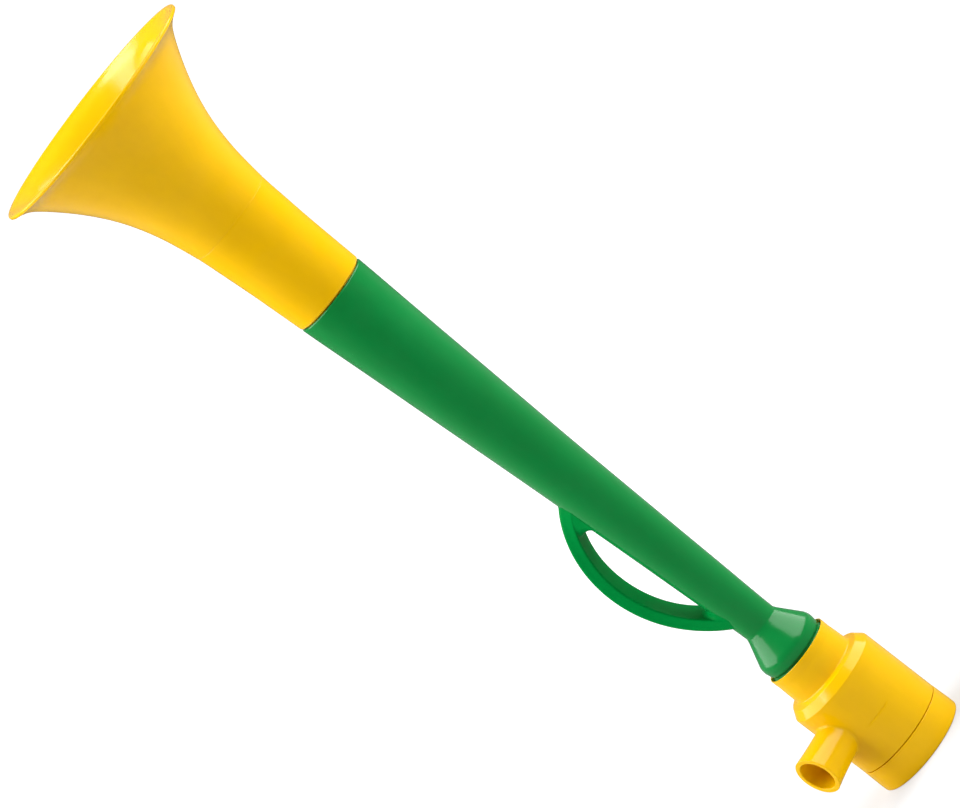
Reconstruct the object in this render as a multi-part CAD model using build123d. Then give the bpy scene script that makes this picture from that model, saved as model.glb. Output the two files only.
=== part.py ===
"""Diaphragm supporter's horn: a flared bell, a tapered body tube with a finger loop, and a
blown head that holds a thin diaphragm against the end of a sound tube.

Millimetres. +Z runs up the horn's axis from the end cap to the bell. The origin is the
centre of the end cap's flat face, which the horn stands on.
"""
from build123d import *
import math
import os

os.makedirs("parts", exist_ok=True)

# ---------------------------------------------------------------- driving dimensions
LENGTH = 480.0            # end cap face to bell rim

# end cap
CAP_R = 25.35             # outside of the cap at its seam
CAP_FACE_R = 23.3         # flat face the horn stands on
SEAM_Z = 13.7             # seam between cap and drum
CAP_WALL = 2.2
CAP_PLUG_R = 23.80        # plug that enters the drum
CAP_PLUG_BORE_R = 22.0
CAP_PLUG_Z = 21.35        # end of the plug
VENT_R = 2.5
CAP_RECESS_R = 18.0
CAP_RECESS = 0.7

# drum and collar of the head
DRUM_R0, DRUM_R1 = 25.35, 25.55   # outside at the seam, and at the shoulder
DRUM_BORE_R = 22.9
DRUM_SEAT_R = 23.90       # counterbore for cap plug and diaphragm
SEAT_Z = 22.0             # plane that the diaphragm seals on
SHOULDER_Z0, SHOULDER_Z1 = 53.6, 57.9
SHOULDER_R = 22.2         # inner edge of the shoulder's chamfer
COLLAR_R0, COLLAR_R1 = 18.45, 18.1
LIP_R = 18.15
LIP_Z = 74.2
COLLAR_BORE_R = 17.00
SOCKET_Z = 61.0           # floor of the socket the tube plugs into
PARTITION_Z = 58.4        # underside of the partition wall

# diaphragm
FILM_R = 23.6
FILM_T = 0.20

# sound tube
SOUND_R, SOUND_BORE_R = 9.3, 7.6
SOUND_FLANGE_R = 12.5
SOUND_SOCKET_R0, SOUND_SOCKET_R1 = 9.6, 11.3
SOUND_TOP_Z = 66.0

# blow tube
BLOW_Z = 36.3
BLOW_ANGLE = 238.0        # direction about Z, from +X
BLOW_END = 46.2           # distance of its mouth from the horn's axis
BLOW_R0, BLOW_R1 = 10.1, 11.15
BLOW_BORE_R = 8.70

# body tube
NECK_Z, NECK_R = 98.0, 9.70
JOINT_Z, JOINT_R = 344.0, 20.50
TUBE_POINTS = [           # outside of the body tube above the neck: radius, height
    (NECK_R, NECK_Z), (10.42, 116.0), (11.95, 152.5), (13.75, 203.5), (15.85, 249.6),
    (18.02, 295.4), (JOINT_R, JOINT_Z),
]
TUBE_BORE_R0, TUBE_BORE_R1 = 7.80, 18.75   # at the neck, and at the joint
SKIRT_R = 16.92
SKIRT_BORE_R = 14.9
SKIRT_Z = 61.3
SPIGOT_R, SPIGOT_Z = 9.3, 63.2

# carry handle, in the XZ plane on the -X side
HANDLE_Z = 154.9
HANDLE_ARC_R = 58.5
HANDLE_ARC_X = 27.6       # the arc's centre, on the +X side of the axis
HANDLE_W, HANDLE_T = 12.6, 6.8
HANDLE_CORNER = 1.2

# bell
BELL_WALL = 1.9
PLUG_Z = 316.0            # inner end of the plug that enters the body tube
PLUG_GAP = 0.08
PLUG_WALL = 1.7
BELL_POINTS = [           # outside of the bell: radius, height
    (20.50, 344.3), (21.10, 360.0), (22.05, 380.0), (23.35, 400.0), (24.45, 409.0),
    (25.85, 418.0), (27.85, 427.0), (30.50, 436.0), (34.05, 445.0), (38.60, 454.0),
    (43.80, 463.0), (49.10, 471.0), (52.60, 475.2), (56.80, 478.0),
]


def solid_of(points):
    """Solid of revolution about Z from a closed (radius, height) outline."""
    wire = Polyline(*[(r, 0, z) for r, z in points], close=True)
    return revolve(make_face(wire), axis=Axis.Z, revolution_arc=360)


def tube_r(z):
    for (r0, z0), (r1, z1) in zip(TUBE_POINTS, TUBE_POINTS[1:]):
        if z <= z1:
            return r0 + (r1 - r0) * (z - z0) / (z1 - z0)
    return JOINT_R


def tube_bore(z):
    return TUBE_BORE_R0 + (TUBE_BORE_R1 - TUBE_BORE_R0) * (z - NECK_Z) / (JOINT_Z - NECK_Z)


def arc_points(cx, cz, r, a0, a1, n):
    """Points of an arc in the (radius, height) half-plane, angles in degrees."""
    return [(cx + r * math.cos(math.radians(a0 + (a1 - a0) * i / n)),
             cz + r * math.sin(math.radians(a0 + (a1 - a0) * i / n))) for i in range(n + 1)]


# ---------------------------------------------------------------- end cap
cap_corner = CAP_R - 0.25 - CAP_FACE_R
end_cap = solid_of(
    [(VENT_R, CAP_RECESS), (CAP_RECESS_R - 0.5, CAP_RECESS), (CAP_RECESS_R, 0.0)]
    + arc_points(CAP_FACE_R, cap_corner, cap_corner, -90, 0, 6)
    + [(CAP_R, SEAM_Z - 0.40), (CAP_R - 0.35, SEAM_Z - 0.03), (CAP_PLUG_R, SEAM_Z - 0.03),
       (CAP_PLUG_R, CAP_PLUG_Z - 0.6), (CAP_PLUG_R - 0.5, CAP_PLUG_Z),
       (CAP_PLUG_BORE_R, CAP_PLUG_Z), (CAP_PLUG_BORE_R, CAP_RECESS + CAP_WALL + 1.0),
       (CAP_PLUG_BORE_R - 1.0, CAP_RECESS + CAP_WALL), (VENT_R, CAP_RECESS + CAP_WALL)]
)

# ---------------------------------------------------------------- head housing: drum, shoulder, partition and collar
drum_outline = (
    [(DRUM_SEAT_R, SEAM_Z), (DRUM_R0 - 0.35, SEAM_Z), (DRUM_R0, SEAM_Z + 0.37)]
    + [(DRUM_R1, SHOULDER_Z0 - 0.6), (DRUM_R1 - 0.1, SHOULDER_Z0 - 0.1), (DRUM_R1 - 0.35, SHOULDER_Z0 + 0.35)]
    + [(SHOULDER_R + 0.25, SHOULDER_Z1 - 0.35), (SHOULDER_R - 0.15, SHOULDER_Z1),
       (COLLAR_R0 + 0.7, SHOULDER_Z1 + 0.7), (COLLAR_R0, SHOULDER_Z1 + 1.4)]
    + [(COLLAR_R1, 69.0), (LIP_R, 71.2), (LIP_R, LIP_Z - 0.2), (LIP_R - 0.2, LIP_Z)]
    + [(COLLAR_BORE_R + 0.60, LIP_Z), (COLLAR_BORE_R, LIP_Z - 2.2), (COLLAR_BORE_R, SOCKET_Z)]
    + [(SOUND_R, SOCKET_Z), (SOUND_R, PARTITION_Z), (16.4, PARTITION_Z),
       (20.6, 56.0), (DRUM_BORE_R, 53.0), (DRUM_BORE_R, SEAT_Z), (DRUM_SEAT_R, SEAT_Z)]
)
blow_dir = Vector(math.cos(math.radians(BLOW_ANGLE)), math.sin(math.radians(BLOW_ANGLE)), 0)


def along_blow(radius_at, start, end):
    """Cone or cylinder about the blow tube's axis, from start to end mm off the horn's axis."""
    plane = Plane(origin=blow_dir * start + Vector(0, 0, BLOW_Z), x_dir=(0, 0, 1), z_dir=blow_dir)
    r0, r1 = radius_at
    n = end - start
    if abs(r0 - r1) < 1e-9:
        return plane * Cylinder(r0, n, align=(Align.CENTER, Align.CENTER, Align.MIN))
    return plane * Cone(r0, r1, n, align=(Align.CENTER, Align.CENTER, Align.MIN))


head_housing = solid_of(drum_outline) - along_blow((BLOW_BORE_R, BLOW_BORE_R), 15.0, 40.0)

# ---------------------------------------------------------------- blow tube
drum_core = solid_of([(0, SEAM_Z), (DRUM_R0, SEAM_Z + 0.37), (DRUM_R1, SHOULDER_Z0 - 0.6),
                      (DRUM_R1, SHOULDER_Z0 + 3.0), (0, SHOULDER_Z0 + 3.0)])
BLOW_ROOT = 20.0
slope = (BLOW_R1 - BLOW_R0) / (BLOW_END - DRUM_R0)
blow_tube = along_blow((BLOW_R0 - slope * (DRUM_R0 - BLOW_ROOT), BLOW_R1), BLOW_ROOT, BLOW_END)
blow_tube = blow_tube - along_blow((BLOW_BORE_R, BLOW_BORE_R), 15.0, 50.0)
mouth = blow_tube.edges().filter_by(GeomType.CIRCLE).sort_by(
    lambda e: e.center().dot(blow_dir) if hasattr(e, "center") else 0)
mouth = [e for e in mouth if e.center().dot(blow_dir) > BLOW_END - 0.1]
blow_tube = fillet(mouth, 0.6)
blow_tube = blow_tube - drum_core

# ---------------------------------------------------------------- sound tube
sound_tube = solid_of([
    (SOUND_BORE_R, SEAT_Z), (SOUND_BORE_R, 62.4), (SOUND_SOCKET_R0, 62.4),
    (SOUND_SOCKET_R0, SOUND_TOP_Z), (SOUND_SOCKET_R1, SOUND_TOP_Z), (SOUND_SOCKET_R1, 62.5),
    (SOUND_FLANGE_R, 62.5), (SOUND_FLANGE_R, SOCKET_Z), (SOUND_R, SOCKET_Z),
    (SOUND_R, SEAT_Z + 0.8), (SOUND_R - 0.6, SEAT_Z),
])

# ---------------------------------------------------------------- diaphragm
diaphragm = Pos(0, 0, SEAT_Z - FILM_T) * Cylinder(
    FILM_R, FILM_T, align=(Align.CENTER, Align.CENTER, Align.MIN))

# ---------------------------------------------------------------- body tube: cone, neck, flared skirt and spigot
tube_outline = (
    [(TUBE_BORE_R0 - 0.1, SPIGOT_Z), (SPIGOT_R - 0.4, SPIGOT_Z), (SPIGOT_R, SPIGOT_Z + 0.5),
     (SPIGOT_R, 91.0), (9.9, 91.4), (SKIRT_BORE_R, 81.2), (SKIRT_BORE_R, SKIRT_Z),
     (SKIRT_R - 0.5, SKIRT_Z), (SKIRT_R, SKIRT_Z + 0.8)]
    + [(SKIRT_R, 75.2), (16.68, 76.2), (16.68, 77.8), (16.95, 79.4), (17.05, 80.5),
       (16.95, 81.4), (16.55, 82.4), (11.2, 92.9), (10.3, 94.7), (9.85, 96.2)]
    + TUBE_POINTS[:-1]
    + [(tube_r(JOINT_Z - 0.7), JOINT_Z - 0.7), (JOINT_R - 0.25, JOINT_Z - 0.2),
       (JOINT_R - 0.7, JOINT_Z), (TUBE_BORE_R1, JOINT_Z), (TUBE_BORE_R0, NECK_Z)]
)
body_tube = solid_of(tube_outline)

# ---------------------------------------------------------------- carry handle
section_plane = Plane(origin=(HANDLE_ARC_X - HANDLE_ARC_R, 0, HANDLE_Z), x_dir=(1, 0, 0), z_dir=(0, 0, 1))
half = 58.0
path = CenterArc(center=(0, 0), radius=HANDLE_ARC_R, start_angle=180 - half, arc_size=2 * half)
path = Plane(origin=(HANDLE_ARC_X, 0, HANDLE_Z), x_dir=(1, 0, 0), z_dir=(0, -1, 0)) * path
start = path @ 0
tangent = path % 0
radial = (start - Vector(HANDLE_ARC_X, 0, HANDLE_Z)).normalized()
section = Plane(origin=start, x_dir=radial, z_dir=tangent) * RectangleRounded(
    HANDLE_T, HANDLE_W, HANDLE_CORNER)
loop = sweep(section, path=path)
tube_core = solid_of([(0, 60.0), (NECK_R, 60.0)] + TUBE_POINTS + [(0, JOINT_Z)])
side = Pos(-60, 0, HANDLE_Z) * Box(120, 60, 140)
carry_handle = (loop - tube_core) & side
carry_handle = max(carry_handle.solids(), key=lambda s: s.volume)

# ---------------------------------------------------------------- bell: plug, neck, flare and rim
outer = BELL_POINTS
inner = []
for i, (r, z) in enumerate(outer):
    a = outer[max(i - 1, 0)]
    b = outer[min(i + 1, len(outer) - 1)]
    d = math.hypot(b[0] - a[0], b[1] - a[1])
    nr, nz = (b[1] - a[1]) / d, -(b[0] - a[0]) / d
    inner.append((r - nr * BELL_WALL, z - nz * BELL_WALL))
rim_outer = (60.0, 479.2)
rim_top0, rim_top1 = (59.2, LENGTH), (57.6, LENGTH)
inner = [p for p in inner if p[1] < LENGTH - 2.4] + [(54.6, 478.2)]


def tangent_at(p, q):
    d = math.hypot(q[0] - p[0], q[1] - p[1])
    return ((q[0] - p[0]) / d, 0, (q[1] - p[1]) / d)


outside = Spline(*[(r, 0, z) for r, z in outer],
                 tangents=(tangent_at(outer[0], outer[1]), (0.905, 0, 0.425)))
inside = Spline(*[(r, 0, z) for r, z in inner],
                tangents=(tangent_at(inner[0], inner[1]), (0.86, 0, 0.51)))
plug_out = [(tube_bore(PLUG_Z) - PLUG_GAP, PLUG_Z + 0.6), (tube_bore(PLUG_Z) - PLUG_GAP - 0.5, PLUG_Z)]
edges = [
    outside,
    Polyline((outer[-1][0], 0, outer[-1][1]), (rim_outer[0] - 0.4, 0, rim_outer[1] - 0.55),
             (rim_outer[0], 0, rim_outer[1]), (rim_top0[0] + 0.45, 0, LENGTH - 0.25),
             (rim_top0[0], 0, LENGTH), (rim_top1[0], 0, LENGTH), (inner[-1][0], 0, inner[-1][1])),
    inside,
    Polyline((inner[0][0], 0, inner[0][1]),
             (plug_out[1][0] - PLUG_WALL + 0.5, 0, PLUG_Z),
             (plug_out[1][0], 0, PLUG_Z), (plug_out[0][0], 0, plug_out[0][1]),
             (tube_bore(JOINT_Z) - PLUG_GAP, 0, JOINT_Z + 0.03),
             (outer[0][0] - 0.3, 0, JOINT_Z + 0.03), (outer[0][0], 0, outer[0][1])),
]
bell = revolve(make_face(edges), axis=Axis.Z, revolution_arc=360)

# ---------------------------------------------------------------- export
NODES = {
    "end_cap": end_cap,
    "head_housing": head_housing,
    "blow_tube": blow_tube,
    "sound_tube": sound_tube,
    "diaphragm": diaphragm,
    "body_tube": body_tube,
    "carry_handle": carry_handle,
    "bell": bell,
}
for name, shape in NODES.items():
    solids = shape.solids()
    shape = solids[0] if len(solids) == 1 else Compound(solids)
    shape.label = name
    export_step(shape, f"parts/{name}.step")
    print(name, len(solids), round(sum(s.volume for s in solids), 1))
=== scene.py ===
"""Looks of the supporter's horn: bell, body tube with finger loop, blown head, diaphragm and end cap."""
import math

import bmesh
import bpy
import numpy as np
from mathutils import Matrix, Vector


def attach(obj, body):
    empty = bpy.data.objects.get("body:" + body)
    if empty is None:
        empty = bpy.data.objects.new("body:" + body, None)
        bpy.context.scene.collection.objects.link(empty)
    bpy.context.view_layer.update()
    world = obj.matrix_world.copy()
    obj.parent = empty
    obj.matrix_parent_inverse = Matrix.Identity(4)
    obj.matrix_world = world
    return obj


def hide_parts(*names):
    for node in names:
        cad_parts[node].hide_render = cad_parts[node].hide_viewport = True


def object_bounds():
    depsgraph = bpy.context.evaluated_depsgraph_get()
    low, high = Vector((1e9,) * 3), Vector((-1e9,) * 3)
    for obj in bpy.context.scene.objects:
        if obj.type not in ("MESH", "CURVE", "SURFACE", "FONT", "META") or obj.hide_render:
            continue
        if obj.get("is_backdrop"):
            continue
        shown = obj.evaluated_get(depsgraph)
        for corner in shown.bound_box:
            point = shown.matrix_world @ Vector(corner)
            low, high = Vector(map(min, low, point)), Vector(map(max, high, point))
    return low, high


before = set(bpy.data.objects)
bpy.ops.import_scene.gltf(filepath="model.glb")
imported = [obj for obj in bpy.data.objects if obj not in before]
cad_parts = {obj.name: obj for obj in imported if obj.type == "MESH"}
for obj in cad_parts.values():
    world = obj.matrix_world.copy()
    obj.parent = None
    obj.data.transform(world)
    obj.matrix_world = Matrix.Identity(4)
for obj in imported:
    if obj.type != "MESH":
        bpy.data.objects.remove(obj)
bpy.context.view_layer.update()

MM = 0.001
SEGS = 288


# ------------------------------------------------------------------ outline helpers (millimetres: radius, height)
def runs(points, step=2.0):
    """Points with long straight runs divided, so that no edge is longer than step."""
    out = [points[0]]
    for a, b in zip(points, points[1:]):
        n = max(1, int(math.ceil(math.dist(a, b) / step)))
        out += [(a[0] + (b[0] - a[0]) * i / n, a[1] + (b[1] - a[1]) * i / n) for i in range(1, n + 1)]
    return out


def rounded(points, radii, n=7):
    """An open outline with each inner corner rounded to the radius given for it."""
    out = [points[0]]
    for i in range(1, len(points) - 1):
        p, a, b = Vector(points[i]), Vector(points[i - 1]), Vector(points[i + 1])
        r = radii[i]
        u, v = (a - p), (b - p)
        lu, lv = u.length, v.length
        u, v = u / lu, v / lv
        dot = max(-1.0, min(1.0, u.dot(v)))
        if r <= 0 or dot < -0.9999:
            out.append(tuple(p))
            continue
        half = math.acos(dot) / 2
        t = min(r / math.tan(half), 0.49 * lu, 0.49 * lv)
        r = t * math.tan(half)
        c = p + (u + v).normalized() * (r / math.sin(half))
        s, e = p + u * t - c, p + v * t - c
        a0, a1 = math.atan2(s.y, s.x), math.atan2(e.y, e.x)
        d = (a1 - a0 + math.pi) % (2 * math.pi) - math.pi
        out += [(c.x + r * math.cos(a0 + d * k / n), c.y + r * math.sin(a0 + d * k / n)) for k in range(n + 1)]
    out.append(points[-1])
    return out


def smooth(points, step=1.5):
    """A Catmull-Rom curve through the points, sampled about every step."""
    p = [Vector(q) for q in points]
    p = [2 * p[0] - p[1]] + p + [2 * p[-1] - p[-2]]
    out = []
    for i in range(1, len(p) - 2):
        a, b, c, d = p[i - 1], p[i], p[i + 1], p[i + 2]
        t0 = 0.0
        t1 = t0 + max((b - a).length, 1e-6) ** 0.5
        t2 = t1 + max((c - b).length, 1e-6) ** 0.5
        t3 = t2 + max((d - c).length, 1e-6) ** 0.5
        n = max(2, int(math.ceil((c - b).length / step)))
        for k in range(n):
            t = t1 + (t2 - t1) * k / n
            a1 = a * ((t1 - t) / (t1 - t0)) + b * ((t - t0) / (t1 - t0))
            a2 = b * ((t2 - t) / (t2 - t1)) + c * ((t - t1) / (t2 - t1))
            a3 = c * ((t3 - t) / (t3 - t2)) + d * ((t - t2) / (t3 - t2))
            b1 = a1 * ((t2 - t) / (t2 - t0)) + a2 * ((t - t0) / (t2 - t0))
            b2 = a2 * ((t3 - t) / (t3 - t1)) + a3 * ((t - t1) / (t3 - t1))
            q = b1 * ((t2 - t) / (t2 - t1)) + b2 * ((t - t1) / (t2 - t1))
            out.append((q.x, q.y))
    out.append(tuple(p[-2]))
    return out


def offset(points, dist):
    """The outline moved to its right-hand side by dist."""
    out = []
    for i, (r, z) in enumerate(points):
        a = points[max(i - 1, 0)]
        b = points[min(i + 1, len(points) - 1)]
        d = math.dist(a, b)
        out.append((r + (b[1] - a[1]) / d * dist, z - (b[0] - a[0]) / d * dist))
    return out


def thin(points, gap=0.02):
    """Drops points that repeat the one before them, and the last if it repeats the first."""
    out = [points[0]]
    for q in points[1:]:
        if math.dist(q, out[-1]) > gap:
            out.append(q)
    if math.dist(out[0], out[-1]) <= gap:
        out.pop()
    return out


# ------------------------------------------------------------------ mesh helpers
def make(name, verts, faces):
    mesh = bpy.data.meshes.new(name)
    mesh.from_pydata(verts, [], faces)
    mesh.update()
    bm = bmesh.new()
    bm.from_mesh(mesh)
    bmesh.ops.recalc_face_normals(bm, faces=bm.faces)
    bm.to_mesh(mesh)
    bm.free()
    mesh.polygons.foreach_set("use_smooth", [True] * len(mesh.polygons))
    obj = bpy.data.objects.new(name, mesh)
    bpy.context.scene.collection.objects.link(obj)
    return obj


def lathe(name, outline, segs=SEGS, shift=None):
    """Closed outline turned about Z. shift(angle, r, z) may move a point's radius, in millimetres."""
    outline = thin(outline)
    n = len(outline)
    verts, faces = [], []
    for r, z in outline:
        for k in range(segs):
            a = 2 * math.pi * k / segs
            q = r if shift is None else r + shift(a, r, z)
            verts.append((q * math.cos(a) * MM, q * math.sin(a) * MM, z * MM))
    for i in range(n):
        j = (i + 1) % n
        for k in range(segs):
            m = (k + 1) % segs
            faces.append((i * segs + k, i * segs + m, j * segs + m, j * segs + k))
    return make(name, verts, faces)


def sharpen(obj, degrees):
    """Splits the shading at edges sharper than this."""
    bm = bmesh.new()
    bm.from_mesh(obj.data)
    for e in bm.edges:
        e.smooth = not (len(e.link_faces) == 2 and e.calc_face_angle(0) > math.radians(degrees))
    bm.to_mesh(obj.data)
    bm.free()


def interp(z, table):
    return float(np.interp(z, [p[1] for p in table], [p[0] for p in table]))


# ------------------------------------------------------------------ outlines of the pieces, in millimetres
def tube_bore(z):
    return 7.80 + (18.75 - 7.80) * (z - 98.0) / 246.0


TUBE = [(9.70, 97.6), (9.84, 103.0), (10.38, 116.0), (10.92, 129.2), (11.80, 152.5), (12.70, 175.7), (13.78, 203.5),
        (14.66, 224.0), (15.88, 249.6), (16.98, 272.5), (18.04, 295.4), (19.42, 322.7), (20.12, 336.4), (20.38, 342.6)]
BELL = [(20.50, 345.6), (20.66, 350.0), (21.03, 359.0), (21.62, 372.7), (22.42, 386.0), (23.36, 400.0), (24.42, 408.8),
        (25.78, 417.8), (27.78, 426.8), (30.46, 435.8), (34.05, 444.8), (38.78, 454.2), (43.85, 462.7),
        (49.05, 470.3), (52.15, 474.0), (54.80, 476.0), (57.30, 477.35)]

# ------------------------------------------------------------------ bell
bell_curve = smooth(BELL, 1.2)
ring = []
for r, z in bell_curve:
    ring.append((r, z))
fine = []
for a, b in zip(ring, ring[1:]):      # finer rows where the witness ring of the mould runs
    near = 398.5 < (a[1] + b[1]) / 2 < 403.5
    fine += runs([a, b], 0.16 if near else 2.0)[:-1]
fine.append(ring[-1])
bell_outer = [(r - 0.11 * math.exp(-((z - 400.9) / 0.30) ** 2) + (0.05 if z > 401.1 else 0.05 * max(0.0, min(1.0, (z - 400.6) / 0.5))), z)
              for r, z in fine]
bell_inner = [(r, z) for r, z in offset(bell_curve, -1.75) if z < 477.0]
lip = rounded([bell_outer[-1], (59.75, 478.35), (59.90, 479.95), (57.6, 479.98), (56.1, 478.75), bell_inner[-1]],
              [0, 0.55, 0.75, 1.3, 2.0, 0], 8)
plug = rounded([(bell_inner[0][0], bell_inner[0][1]), (tube_bore(344) - 1.95, 340.0), (tube_bore(317) - 1.75, 316.3),
                (tube_bore(317) - 0.15, 316.3), (tube_bore(344.0) - 0.15, 344.75), (20.28, 344.75),
                (20.47, 345.3), bell_outer[0]],
               [0, 6.0, 0.45, 0.5, 0.12, 0.22, 0.2, 0], 6)
bell = lathe("bell_shell", bell_outer + lip[1:-1] + bell_inner[::-1] + runs(plug, 3.0)[1:-1])

# ------------------------------------------------------------------ body tube: cone, neck, flared skirt and spigot
tube_outer = smooth(TUBE, 2.5)
skirt = rounded([(7.75, 63.3), (9.25, 63.3), (9.25, 91.0), (10.0, 91.2), (14.7, 81.3), (14.7, 61.4), (16.88, 61.4),
                 (16.88, 73.2), (15.45, 73.9), (15.45, 75.25), (16.45, 75.35), (17.22, 80.5),
                 (10.50, 93.3), (9.64, 95.4), (9.70, 97.6)],
                [0, 0.5, 1.0, 0.8, 2.0, 0.4, 0.5, 0.3, 0.3, 0.2, 0.42, 11.0, 4.0, 3.0, 0], 10)
rim = rounded([tube_outer[-1], (20.44, 344.02), (tube_bore(344) , 344.02), (tube_bore(343), 342.9)],
              [0, 0.85, 0.3, 0], 8)
bore = runs([(tube_bore(342.9), 342.9), (tube_bore(98), 98.0), (7.75, 90.0), (7.75, 63.3)], 4.0)
tube_line = runs(skirt, 2.0) + tube_outer[1:] + rim[1:-1] + bore[:-1]
tube = lathe("body_tube_shell", tube_line)

# ------------------------------------------------------------------ finger loop
ARC_X, ARC_Z, ARC_R = 27.6, 154.9, 58.5


def tube_r(z):
    return interp(z, TUBE)


def loop_section(n=12):
    """(outward, sideways, normal) round the loop's section: a crowned outer face and a flatter inner one."""
    w, t = 6.3, 3.3
    pts = []
    for (sx, sy, a0, c) in ((1, 1, 0, 1.3), (-1, 1, 90, 0.9), (-1, -1, 180, 0.9), (1, -1, 270, 1.3)):
        for i in range(n + 1):
            a = math.radians(a0 + 90 * i / n)
            e = sx * (t - c) + c * math.cos(a)
            s = sy * (w - c) + c * math.sin(a)
            pts.append((e, s, math.cos(a), math.sin(a)))
    out = []
    for i, p in enumerate(pts):
        q = pts[(i + 1) % len(pts)]
        out.append(p)
        gap = math.hypot(q[0] - p[0], q[1] - p[1])
        if gap > 1.6:
            m = int(gap / 1.0)
            for k in range(1, m):
                f = k / m
                out.append(tuple(p[j] + (q[j] - p[j]) * f for j in range(4)))
    return [(e, s, ne, ns) for e, s, ne, ns in out]


def crown(e, s):
    """A slight crown on the outer face."""
    return e + (0.35 * max(0.0, 1 - (s / 6.2) ** 2) if e > 0 else -0.10 * max(0.0, 1 - (s / 6.2) ** 2))


def loop_point(e, s, a):
    return ((ARC_X + (ARC_R + e) * math.cos(a)), s, ARC_Z + (ARC_R + e) * math.sin(a))


def depth(e, s, a):
    """How far the point is outside the tube's surface."""
    x, y, z = loop_point(e, s, a)
    return math.hypot(x, y) - tube_r(z)


section = loop_section()
HALF_W = 6.3
ROOT_ANGLE = math.radians(44)          # between the loop's inner face and the tube
N_MID = 64
N_END = 26
END_LEN = 9.0


def flare(upper):
    """Half the loop's width where it meets the tube: it spreads over the tube's side."""
    return 10.6 if upper else 9.3


def spread_to(s, x, z, upper, share):
    """Sideways place of a point of the loop near its root."""
    w = s
    for _ in range(3):
        d = max(0.0, math.hypot(x, w) - tube_r(z))
        g = max(0.0, 1 - d / 16.0) ** 2
        w = s * (1 + (flare(upper) / HALF_W - 1) * g * share)
    return w


def end_path(fillet_r, alpha, way):
    """From the corner with the tube out along the loop: a fillet tangent to both, then straight. (along, lift)"""
    t_len = fillet_r / math.tan(alpha / 2)
    arc = fillet_r * (math.pi - alpha)
    total = arc + END_LEN - t_len
    out = []
    for k in range(N_END + 1):
        q = total * (k / N_END) ** 1.25
        if q < arc:
            phi = (math.pi - alpha) * (1 - q / arc)
            out.append((t_len - fillet_r * math.sin(phi), way * fillet_r * (1 - math.cos(phi))))
        else:
            out.append((t_len + q - arc, 0.0))
    return out


grid = []
for e, s, ne, ns in section:
    e = crown(e, s)
    share = 0.45 + 0.55 * max(0.0, min(1.0, (3.3 - e) / 6.6))       # the inner face spreads more than the outer one
    r = ARC_R + e
    ends = []
    for sign, upper in ((1, False), (-1, True)):
        if ne < 0:
            path = end_path(max(0.02, (5.2 if upper else 2.1) * (-ne) ** 1.5), ROOT_ANGLE, 1.0)
        else:
            path = end_path(max(0.02, 2.2 * ne ** 1.5), math.pi - ROOT_ANGLE, -1.0)
        wide = s * (1 + (flare(upper) / HALF_W - 1) * share)
        lo, hi = math.pi, math.pi + sign * math.radians(75)
        for _ in range(40):
            mid = (lo + hi) / 2
            if depth(e, wide, mid) > 0:
                lo = mid
            else:
                hi = mid
        ends.append(((lo + hi) / 2, sign, upper, path))

    def put(a, v, upper):
        x = ARC_X + (r - v) * math.cos(a)
        z = ARC_Z + (r - v) * math.sin(a)
        return x, spread_to(s, x, z, upper, share), z

    def sink(p):
        k = (tube_r(p[2]) - 0.6) / math.hypot(p[0], p[1])
        return p[0] * k, p[1] * k, p[2]

    low, high = ends
    first = [put(low[0] - low[1] * u / r, v, False) for u, v in low[3]]
    final = [put(high[0] - high[1] * u / r, v, True) for u, v in reversed(high[3])]
    a0 = low[0] - low[1] * END_LEN / r
    a1 = high[0] - high[1] * END_LEN / r
    middle = [put(a0 + (a1 - a0) * k / (N_MID + 1), 0.0, k > N_MID / 2) for k in range(1, N_MID + 1)]
    column = [sink(first[0])] + first + middle + final + [sink(final[-1])]
    grid.append([(x * MM, y * MM, z * MM) for x, y, z in column])
cols, n_rows = len(grid), len(grid[0])
verts = [p for column in grid for p in column]
faces = []
for c in range(cols):
    d = (c + 1) % cols
    for i in range(n_rows - 1):
        faces.append((c * n_rows + i, c * n_rows + i + 1, d * n_rows + i + 1, d * n_rows + i))
faces.append(tuple(c * n_rows for c in range(cols)))
faces.append(tuple(c * n_rows + n_rows - 1 for c in reversed(range(cols))))
loop = make("finger_loop", verts, faces)

# ------------------------------------------------------------------ head: drum, shoulder, collar
blow = Vector((math.cos(math.radians(238.0)), math.sin(math.radians(238.0)), 0))
BLOW_Z = 36.3


def drum_r(z):
    return 25.12 + (25.38 - 25.12) * (z - 14) / 40.0


drum_rows = runs([(drum_r(14.6), 14.6), (drum_r(30.4), 30.4)], 1.2) + runs([(drum_r(30.4), 30.4), (drum_r(33.6), 33.6)], 0.2)[1:] \
    + runs([(drum_r(33.6), 33.6), (drum_r(50.4), 50.4)], 1.2)[1:]
head_top = rounded([(drum_r(50.4), 50.4), (25.28, 53.55), (22.25, 57.75), (18.55, 58.55), (18.34, 62.0), (18.28, 65.0),
                    (18.08, 69.6), (18.18, 71.8), (18.20, 74.35), (17.66, 74.35), (17.03, 72.1), (17.03, 71.0)],
                   [0, 0.9, 0.8, 0.9, 1.0, 3.0, 2.0, 1.0, 0.28, 0.20, 0.5, 0], 8)
head_in = rounded([(17.03, 71.0), (17.03, 61.0), (9.32, 61.0), (9.32, 58.4), (16.4, 58.4), (20.6, 56.0), (22.9, 53.0),
                   (22.9, 22.0), (23.92, 22.0), (23.92, 14.00), (drum_r(14) - 0.02, 14.00), (drum_r(14.6), 14.6)],
                  [0, 0.5, 0.4, 0.4, 1.5, 1.5, 2.0, 0.2, 0.1, 0.2, 0.25, 0], 6)


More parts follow.
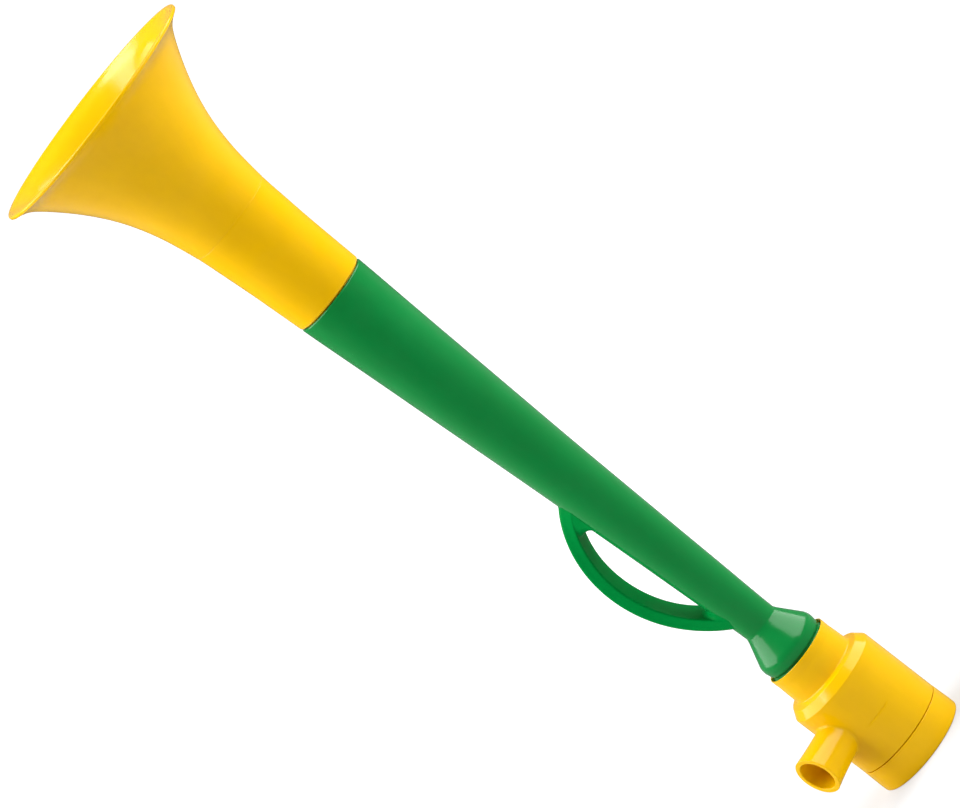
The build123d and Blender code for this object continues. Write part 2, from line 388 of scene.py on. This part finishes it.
def drum_mark(a, r, z):
    """A short shallow line that the mould leaves on the drum, facing the front."""
    if r < 24.5 or not 30 < z < 34:
        return 0.0
    w = abs((a - math.radians(297) + math.pi) % (2 * math.pi) - math.pi)
    side = max(0.0, min(1.0, (math.radians(17) - w) / math.radians(4)))
    return -0.30 * side * math.exp(-((z - 32.0) / 0.26) ** 2)


head = lathe("head_shell", drum_rows + head_top[1:] + runs(head_in, 1.6)[1:-1], shift=drum_mark)

# blow tube: outside with a small fillet on the drum, rounded mouth, straight bore
lat = Vector((-blow.y, blow.x, 0))
up = Vector((0, 0, 1))
B_SEGS = 128
BLOW_BORE = 8.72


def blow_point(s, r, f):
    return (blow * s + lat * (r * math.cos(f)) + up * (r * math.sin(f) + BLOW_Z)) * MM


def on_drum(r, f, big):
    return math.sqrt(max(0.0, big * big - (r * math.cos(f)) ** 2))


def blow_outer(s):
    t = max(0.0, min(1.0, (s - 25.3) / (46.2 - 25.3)))
    return 10.12 + 0.55 * t + 0.55 * t ** 3


rings = []
root_f = 0.9
for k in range(-1, 8):                       # fillet from the drum's surface on to the tube
    q = max(k, 0) / 7 * math.pi / 2
    spread = root_f * (1 - math.sin(q))
    lift = root_f * (1 - math.cos(q)) - (0.35 if k < 0 else 0.0)
    rings.append(("root", spread, lift))
verts, faces = [], []
count = 0
for kind, spread, lift in rings:
    for j in range(B_SEGS):
        f = 2 * math.pi * j / B_SEGS
        r = 10.12 + spread
        s = on_drum(r, f, drum_r(BLOW_Z + r * math.sin(f))) + lift
        verts.append(tuple(blow_point(s, r, f)))
    count += 1
for i in range(1, 13):                       # along the outside
    u = i / 12
    for j in range(B_SEGS):
        f = 2 * math.pi * j / B_SEGS
        s0 = on_drum(10.12, f, drum_r(BLOW_Z)) + root_f
        s = s0 + (45.35 - s0) * u
        verts.append(tuple(blow_point(s, blow_outer(s), f)))
    count += 1
mouth = rounded([(blow_outer(45.35), 45.35), (blow_outer(46.2), 46.15), (BLOW_BORE, 46.15), (BLOW_BORE, 45.2)],
                [0, 0.72, 0.72, 0], 8)
for r, s in mouth[1:]:
    for j in range(B_SEGS):
        verts.append(tuple(blow_point(s, r, 2 * math.pi * j / B_SEGS)))
    count += 1
for i in range(1, 15):                       # down the bore, through the drum's wall
    u = i / 14
    for j in range(B_SEGS):
        f = 2 * math.pi * j / B_SEGS
        end = on_drum(BLOW_BORE, f, 22.92)
        verts.append(tuple(blow_point(45.2 + (end - 45.2) * u, BLOW_BORE, f)))
    count += 1
for i in range(count - 1):
    for j in range(B_SEGS):
        m = (j + 1) % B_SEGS
        faces.append((i * B_SEGS + j, i * B_SEGS + m, (i + 1) * B_SEGS + m, (i + 1) * B_SEGS + j))
for j in range(B_SEGS):                      # closes the wall inside the drum's own wall
    m = (j + 1) % B_SEGS
    faces.append(((count - 1) * B_SEGS + j, (count - 1) * B_SEGS + m, m, j))
blow_tube = make("blow_tube_shell", verts, faces)

# hole through the drum's wall for the bore
cut_verts, cut_faces = [], []
for s in (12.0, 30.0):
    for j in range(96):
        cut_verts.append(tuple(blow_point(s, BLOW_BORE + 0.25, 2 * math.pi * j / 96)))
cut_faces = [(j, (j + 1) % 96, 96 + (j + 1) % 96, 96 + j) for j in range(96)]
cut_faces += [tuple(range(96)), tuple(reversed(range(96, 192)))]
cutter = make("cutter", cut_verts, cut_faces)
mod = head.modifiers.new("port", "BOOLEAN")
mod.operation, mod.solver, mod.object = "DIFFERENCE", "EXACT", cutter
dg = bpy.context.evaluated_depsgraph_get()
cut_mesh = bpy.data.meshes.new_from_object(head.evaluated_get(dg))
head.modifiers.clear()
head.data = cut_mesh
head.data.name = "head_shell"
bpy.data.objects.remove(cutter)
sharpen(head, 50)

# ------------------------------------------------------------------ end cap
cap_line = rounded([(2.5, 0.75), (17.4, 0.75), (18.1, 0.02), (23.1, 0.02), (25.30, 0.02), (25.36, 4.0), (25.16, 13.52),
                    (23.78, 13.52), (23.78, 21.3), (22.05, 21.3), (22.0, 2.9), (2.5, 2.9)],
                   [0, 0.35, 0.35, 0, 2.0, 0, 0.25, 0.2, 0.6, 0.5, 1.2, 0], 8)
cap = lathe("end_cap_shell", runs(cap_line, 1.4))
sharpen(cap, 60)

# ------------------------------------------------------------------ diaphragm: a thin film, faintly drawn over the sound tube's mouth
film_verts, film_faces = [], []
FR = [0.0] + [0.6 * k for k in range(1, 39)] + [23.3, 23.55]
F_SEGS = 144
for side, z in ((0, 21.985), (1, 21.815)):
    for r in FR[1:]:
        for k in range(F_SEGS):
            a = 2 * math.pi * k / F_SEGS
            dish = 0.05 * math.exp(-((r - 16.0) / 3.5) ** 2) * (0.6 + 0.4 * math.sin(9 * a + 0.7 * math.sin(3 * a)))
            film_verts.append((r * math.cos(a) * MM, r * math.sin(a) * MM, (z - dish) * MM))
    film_verts.append((0, 0, z * MM))
per = (len(FR) - 1) * F_SEGS + 1
for side in (0, 1):
    o = side * per
    for i in range(len(FR) - 2):
        for k in range(F_SEGS):
            m = (k + 1) % F_SEGS
            film_faces.append((o + i * F_SEGS + k, o + i * F_SEGS + m, o + (i + 1) * F_SEGS + m, o + (i + 1) * F_SEGS + k))
    for k in range(F_SEGS):
        film_faces.append((o + k, o + (k + 1) % F_SEGS, o + per - 1))
last = (len(FR) - 2) * F_SEGS
for k in range(F_SEGS):
    m = (k + 1) % F_SEGS
    film_faces.append((last + k, last + m, per + last + m, per + last + k))
film = make("diaphragm_film", film_verts, film_faces)
sharpen(film, 45)


# ------------------------------------------------------------------ materials
def plastic(name, deep, light, rough=0.32, sss=0.0, spec=0.4, flow_axis="Z", bump=1.0, film_alpha=False):
    """Moulded polypropylene: faint colour clouding, flow lines along the moulding, soft orange peel and hair scratches."""
    mat = bpy.data.materials.new(name)
    mat.use_nodes = True
    nt = mat.node_tree
    for n in list(nt.nodes):
        nt.nodes.remove(n)
    out = nt.nodes.new("ShaderNodeOutputMaterial")
    bsdf = nt.nodes.new("ShaderNodeBsdfPrincipled")
    nt.links.new(bsdf.outputs[0], out.inputs[0])
    co = nt.nodes.new("ShaderNodeTexCoord")

    def mapping(scale):
        m = nt.nodes.new("ShaderNodeMapping")
        m.inputs["Scale"].default_value = scale
        nt.links.new(co.outputs["Object"], m.inputs["Vector"])
        return m

    def noise(vec, scale, detail=3.0, roughness=0.5, distortion=0.0):
        n = nt.nodes.new("ShaderNodeTexNoise")
        n.inputs["Scale"].default_value = scale
        n.inputs["Detail"].default_value = detail
        n.inputs["Roughness"].default_value = roughness
        n.inputs["Distortion"].default_value = distortion
        nt.links.new(vec.outputs[0], n.inputs["Vector"])
        return n

    def span(src, a, b, c, d):
        r = nt.nodes.new("ShaderNodeMapRange")
        r.inputs["From Min"].default_value = a
        r.inputs["From Max"].default_value = b
        r.inputs["To Min"].default_value = c
        r.inputs["To Max"].default_value = d
        nt.links.new(src, r.inputs["Value"])
        return r.outputs[0]

    def math_node(op, a, b):
        m = nt.nodes.new("ShaderNodeMath")
        m.operation = op
        for i, v in enumerate((a, b)):
            if isinstance(v, (int, float)):
                m.inputs[i].default_value = v
            else:
                nt.links.new(v, m.inputs[i])
        return m.outputs[0]

    even = mapping((1, 1, 1))
    flow = mapping((1, 1, 0.12))
    cloud = noise(even, 28.0, 4.0, 0.55, 0.4)
    streak = noise(flow, 190.0, 3.0, 0.6, 0.2)
    mixed = math_node("ADD", math_node("MULTIPLY", cloud.outputs["Fac"], 0.7), math_node("MULTIPLY", streak.outputs["Fac"], 0.3))
    ramp = nt.nodes.new("ShaderNodeValToRGB")
    ramp.color_ramp.elements[0].position = 0.34
    ramp.color_ramp.elements[0].color = (*deep, 1)
    ramp.color_ramp.elements[1].position = 0.66
    ramp.color_ramp.elements[1].color = (*light, 1)
    nt.links.new(mixed, ramp.inputs["Fac"])
    nt.links.new(ramp.outputs["Color"], bsdf.inputs["Base Color"])

    # roughness: soft handling marks and fine streaks
    marks = noise(even, 60.0, 5.0, 0.6, 0.8)
    scratch = noise(mapping((1.0, 1.0, 0.035)), 900.0, 2.0, 0.5, 0.0)
    r1 = span(marks.outputs["Fac"], 0.3, 0.7, rough - 0.05, rough + 0.07)
    r2 = span(scratch.outputs["Fac"], 0.62, 0.80, 0.0, 0.03)
    nt.links.new(math_node("ADD", r1, r2), bsdf.inputs["Roughness"])

    # bump: orange peel, slow waviness of the moulding, hair scratches
    peel = noise(even, 1500.0, 2.0, 0.5)
    wave = noise(even, 45.0, 2.0, 0.4)
    h = math_node("ADD", math_node("MULTIPLY", peel.outputs["Fac"], 0.10),
                  math_node("ADD", math_node("MULTIPLY", wave.outputs["Fac"], 1.6), math_node("MULTIPLY", scratch.outputs["Fac"], 0.004)))
    bm = nt.nodes.new("ShaderNodeBump")
    bm.inputs["Strength"].default_value = 0.35 * bump
    bm.inputs["Distance"].default_value = 0.0002
    nt.links.new(h, bm.inputs["Height"])
    nt.links.new(bm.outputs[0], bsdf.inputs["Normal"])

    bsdf.inputs["IOR"].default_value = 1.49
    bsdf.inputs["Specular IOR Level"].default_value = spec
    if sss:
        bsdf.inputs["Subsurface Weight"].default_value = sss
        bsdf.inputs["Subsurface Radius"].default_value = (1.0, 0.6, 0.2)
        bsdf.inputs["Subsurface Scale"].default_value = 0.002
    if film_alpha:
        bsdf.inputs["Alpha"].default_value = 0.82
    return mat


YELLOW = plastic("yellow_plastic", (0.85, 0.478, 0.0), (0.91, 0.522, 0.0), rough=0.17, spec=0.26, sss=0.06)
GREEN = plastic("green_plastic", (0.003, 0.215, 0.039), (0.003, 0.240, 0.046), rough=0.19, spec=0.35)
GREEN_LOOP = plastic("green_plastic_loop", (0.0, 0.225, 0.038), (0.0, 0.250, 0.045), rough=0.32, spec=0.015)
INNER = plastic("inner_plastic", (0.80, 0.43, 0.008), (0.86, 0.48, 0.012), rough=0.42)
FILM = plastic("film_plastic", (0.70, 0.71, 0.68), (0.80, 0.81, 0.78), rough=0.28, bump=0.6, film_alpha=True)

for obj, mat, body, slot, nodes in (
    (bell, YELLOW, "bell", "yellow_plastic", ("bell",)),
    (tube, GREEN, "horn_body", "green_plastic", ("body_tube",)),
    (loop, GREEN_LOOP, "horn_body", "green_plastic", ("carry_handle",)),
    (head, YELLOW, "head", "yellow_plastic", ("head_housing",)),
    (blow_tube, YELLOW, "head", "yellow_plastic", ("blow_tube",)),
    (cap, YELLOW, "cap", "yellow_plastic", ("end_cap",)),
    (film, FILM, "diaphragm", "film", ("diaphragm",)),
):
    obj.data.materials.clear()
    obj.data.materials.append(mat)
    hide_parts(*nodes)
    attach(obj, body)
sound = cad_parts["sound_tube"]
for i in range(max(1, len(sound.material_slots))):
    if sound.material_slots:
        sound.material_slots[i].material = INNER
    else:
        sound.data.materials.append(INNER)

# ------------------------------------------------------------------ floor, world and lights
fm = bpy.data.materials.new("floor_white")
fm.use_nodes = True
nt = fm.node_tree
for n in list(nt.nodes):
    nt.nodes.remove(n)
out = nt.nodes.new("ShaderNodeOutputMaterial")
path = nt.nodes.new("ShaderNodeLightPath")
dif = nt.nodes.new("ShaderNodeBsdfDiffuse")
dif.inputs[0].default_value = (0.34, 0.34, 0.35, 1)
emi = nt.nodes.new("ShaderNodeEmission")
emi.inputs[0].default_value = (1, 1, 1, 1)
add = nt.nodes.new("ShaderNodeAddShader")
dim = nt.nodes.new("ShaderNodeBsdfDiffuse")
bounce = nt.nodes.new("ShaderNodeBsdfDiffuse")
bounce.inputs[0].default_value = (0.58, 0.58, 0.58, 1)
kind = nt.nodes.new("ShaderNodeMixShader")
mix = nt.nodes.new("ShaderNodeMixShader")
nt.links.new(dif.outputs[0], add.inputs[0])
nt.links.new(emi.outputs[0], add.inputs[1])
nt.links.new(path.outputs["Is Camera Ray"], mix.inputs[0])
nt.links.new(path.outputs["Is Glossy Ray"], kind.inputs[0])
nt.links.new(bounce.outputs[0], kind.inputs[1])
nt.links.new(dim.outputs[0], kind.inputs[2])
nt.links.new(kind.outputs[0], mix.inputs[1])
nt.links.new(add.outputs[0], mix.inputs[2])
nt.links.new(mix.outputs[0], out.inputs[0])
geo = nt.nodes.new("ShaderNodeNewGeometry")
far = nt.nodes.new("ShaderNodeVectorMath")        # painted shade: the floor's glow is dimmed beside the horn and full white away from it, so the lamps' real shadow shows as a trace beside it
far.operation = "LENGTH"
glow = nt.nodes.new("ShaderNodeMapRange")
for key, value in (("From Min", 0.10), ("From Max", 0.75), ("To Min", 0.50), ("To Max", 1.02)):
    glow.inputs[key].default_value = value
side = nt.nodes.new("ShaderNodeVectorMath")       # the floor in front of the horn is darker in its reflections
side.operation = "DOT_PRODUCT"
side.inputs[1].default_value = (math.sin(math.radians(27)), -math.cos(math.radians(27)), 0)
shade = nt.nodes.new("ShaderNodeMapRange")
for key, value in (("From Min", -0.8), ("From Max", 0.9), ("To Min", 0.30), ("To Max", 0.04)):
    shade.inputs[key].default_value = value
nt.links.new(geo.outputs["Position"], far.inputs[0])
nt.links.new(far.outputs["Value"], glow.inputs["Value"])
nt.links.new(glow.outputs[0], emi.inputs[1])
nt.links.new(geo.outputs["Position"], side.inputs[0])
nt.links.new(side.outputs["Value"], shade.inputs["Value"])
nt.links.new(shade.outputs[0], dim.inputs[0])
bpy.ops.mesh.primitive_plane_add(size=40, location=(0, 0, -0.00002))
floor = bpy.context.object
floor.name = "floor"
floor.data.materials.append(fm)
floor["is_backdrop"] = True

world = bpy.data.worlds.new("studio")
bpy.context.scene.world = world
world.use_nodes = True
nt = world.node_tree
for n in list(nt.nodes):
    nt.nodes.remove(n)
out = nt.nodes.new("ShaderNodeOutputWorld")
seen = nt.nodes.new("ShaderNodeBackground")
seen.inputs[0].default_value = (1, 1, 1, 1)
seen.inputs[1].default_value = 1.05
lit = nt.nodes.new("ShaderNodeBackground")
lit.inputs[0].default_value = (1, 1, 1, 1)
co = nt.nodes.new("ShaderNodeTexCoord")
front = nt.nodes.new("ShaderNodeVectorMath")      # the room in front of the horn is darker than the backdrop
front.operation = "DOT_PRODUCT"
front.inputs[1].default_value = (math.sin(math.radians(27)), -math.cos(math.radians(27)), 0)
grad = nt.nodes.new("ShaderNodeMapRange")
grad.inputs["From Min"].default_value = -0.2
grad.inputs["From Max"].default_value = 0.9
grad.inputs["To Min"].default_value = 0.24
grad.inputs["To Max"].default_value = 0.07
path = nt.nodes.new("ShaderNodeLightPath")
mix = nt.nodes.new("ShaderNodeMixShader")
nt.links.new(co.outputs["Generated"], front.inputs[0])
nt.links.new(front.outputs["Value"], grad.inputs["Value"])
nt.links.new(grad.outputs[0], lit.inputs[1])
nt.links.new(path.outputs["Is Camera Ray"], mix.inputs[0])
nt.links.new(lit.outputs[0], mix.inputs[1])
nt.links.new(seen.outputs[0], mix.inputs[2])
nt.links.new(mix.outputs[0], out.inputs[0])

AZ = math.radians(27.0)
toward = Vector((math.sin(AZ), -math.cos(AZ), 0))           # from the horn to the camera, level
loopward = Vector((-math.cos(AZ), -math.sin(AZ), 0))        # across the view, to the finger loop's side


def softbox(name, azimuth, elevation, dist, size_x, size_y, radiance, aim=(0, 0, 0.24), along=None):
    """azimuth is measured from the camera towards the finger loop's side; along is the long side's direction."""
    a, e = math.radians(azimuth), math.radians(elevation)
    d = (toward * math.cos(a) + loopward * math.sin(a)) * math.cos(e) + Vector((0, 0, 1)) * math.sin(e)
    light = bpy.data.lights.new(name, "AREA")
    light.shape = "RECTANGLE"
    light.size, light.size_y = size_x, size_y
    light.energy = radiance * math.pi * size_x * size_y
    obj = bpy.data.objects.new(name, light)
    bpy.context.scene.collection.objects.link(obj)
    if along is None:
        long = Vector((0, 0, 1)).cross(d).normalized()
    else:
        long = toward * along[0] + loopward * along[1] + Vector((0, 0, 1)) * along[2]
        long = (long - d * long.dot(d)).normalized()
    other = d.cross(long)
    turn = Matrix((long, other, d)).transposed().to_4x4()
    obj.matrix_world = Matrix.Translation(Vector(aim) + d * dist) @ turn
    obj.visible_camera = False
    return obj


softbox("box_loop_side", 96, 28, 1.3, 1.50, 1.16, 3.6)
softbox("box_far_side", -84, 28, 1.3, 2.30, 1.16, 4.0)
softbox("strip_top", 97, 60, 1.3, 1.70, 0.44, 8.0, aim=(0, 0, 0.47), along=(-0.98, -0.43, 0.14))

# ------------------------------------------------------------------ camera
PX = 6599.0                       # focal length in pixels of a 960 wide frame
DIST = 2.976
TILT = math.radians(10.5)
cam_data = bpy.data.cameras.new("camera")
cam_data.sensor_fit = "HORIZONTAL"
cam_data.sensor_width = 36.0
cam_data.lens = 36.0 * PX / 960.0
cam_data.clip_start, cam_data.clip_end = 0.05, 60.0
cam = bpy.data.objects.new("camera", cam_data)
bpy.context.scene.collection.objects.link(cam)
back = toward * math.cos(TILT) + Vector((0, 0, 1)) * math.sin(TILT)
zp = (Vector((0, 0, 1)) - back * back.z).normalized()
rt = (-back).cross(zp)
A = math.radians(142.6)
xc = zp * math.cos(A) + rt * math.sin(A)
yc = zp * math.sin(A) - rt * math.cos(A)
ox, oy = 31.6 / PX, -29.0 / PX
zc = (back + xc * ox + yc * oy).normalized()
xc = (xc - zc * xc.dot(zc)).normalized()
yc = zc.cross(xc)
cam.matrix_world = Matrix.Translation(Vector((0, 0, 0.24)) + back * DIST) @ Matrix((xc, yc, zc)).transposed().to_4x4()
bpy.context.scene.camera = cam
bpy.context.scene.view_settings.view_transform = "Standard"
bpy.context.scene.view_settings.look = "None"

# ------------------------------------------------------------------ sizes
lo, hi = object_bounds()
